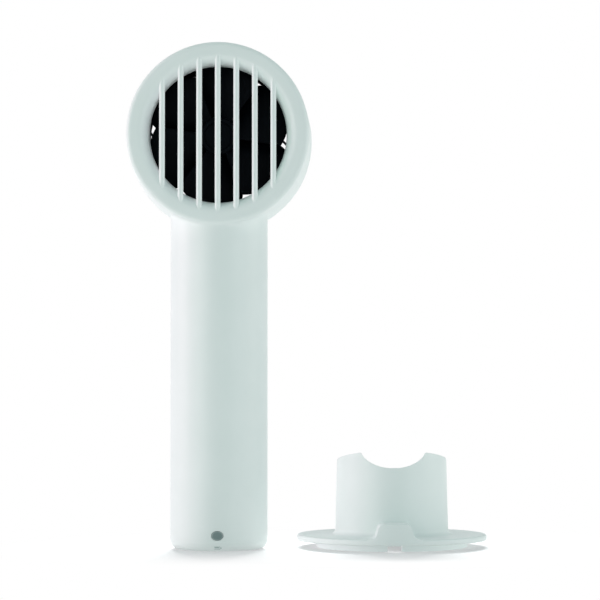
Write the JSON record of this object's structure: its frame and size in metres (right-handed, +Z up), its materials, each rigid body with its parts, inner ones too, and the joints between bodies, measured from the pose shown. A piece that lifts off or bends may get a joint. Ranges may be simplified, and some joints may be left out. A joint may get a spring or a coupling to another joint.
{
  "type": "portable fan",
  "caption": "Pocket fan with a round slatted head on a straight cylindrical handle, beside its loose disc stand with a slanted cup.",
  "frame": {"origin": "centre of the flat base that the handle stands on", "axes": "+Z up along the handle, -Y out of the slatted front that the air leaves by, +X towards the stand"},
  "size_m": [0.1417, 0.075, 0.1973],
  "materials": {
    "white_plastic": "fine satin moulding",
    "black_plastic": "satin black moulding",
    "white_rubber": "matt soft pad",
    "grey_lens": "tinted polished window",
    "steel": "bright nickel plated",
    "zinc": "zinc plated sheet",
    "bronze": "sintered bronze and copper",
    "magnet": "matt ferrite",
    "board_green": "green solder mask on glass fibre",
    "cell_sleeve": "blue shrink film over a metal can",
    "red_sleeve": "red insulation",
    "black_sleeve": "black insulation"
  },
  "bodies": {
    "fan": {"front_shell": "white_plastic", "rear_shell": "white_plastic", "base_pad": "white_rubber", "air_duct": "black_plastic", "rear_guard": "black_plastic", "motor_can": "zinc", "motor_end_cap": "black_plastic", "motor_front_bush": "bronze", "motor_rear_bush": "bronze", "motor_magnet": "magnet", "motor_brush_left": "bronze", "motor_brush_right": "bronze", "motor_screw_left": "steel", "motor_screw_right": "steel", "motor_lead_red": "red_sleeve", "motor_lead_black": "black_sleeve", "battery_cell": "cell_sleeve", "battery_tray": "black_plastic", "contact_negative": "steel", "contact_positive": "steel", "battery_lead_red": "red_sleeve", "battery_lead_black": "black_sleeve", "tray_screw_1": "steel", "tray_screw_2": "steel", "tray_screw_3": "steel", "tray_screw_4": "steel", "circuit_board": "board_green", "board_screw_1": "steel", "board_screw_2": "steel", "charger_chip": "black_plastic", "controller_chip": "black_plastic", "boost_coil": "magnet", "storage_capacitor": "zinc", "charging_socket": "zinc", "push_switch": "black_plastic", "indicator_led": "white_plastic", "light_pipe": "grey_lens", "shell_screw_1": "steel", "shell_screw_2": "steel"},
    "rotor": {"fan_rotor": "black_plastic", "motor_shaft": "steel", "motor_armature": "steel", "motor_commutator": "bronze"},
    "button": {"power_button": "white_plastic", "switch_plunger": "white_plastic"},
    "stand": {"stand_body": "white_plastic", "stand_foot_ring": "white_rubber"}
  },
  "joints": [
    {"name": "rotor_spin", "type": "hinge", "parent": "fan", "child": "rotor", "pos_m": [0, 0, 0.1609], "axis": [0, -1, 0], "continuous": true},
    {"name": "button_press", "type": "slide", "parent": "fan", "child": "button", "axis": [0, -1, 0], "range_m": [0, 0.0005], "stiffness_N_per_m": 800, "springref_m": -0.0005},
    {"name": "stand_lift", "type": "slide", "parent": "fan", "child": "stand", "axis": [0, 0, 1], "range_m": [0, 0.06]}
  ]
}
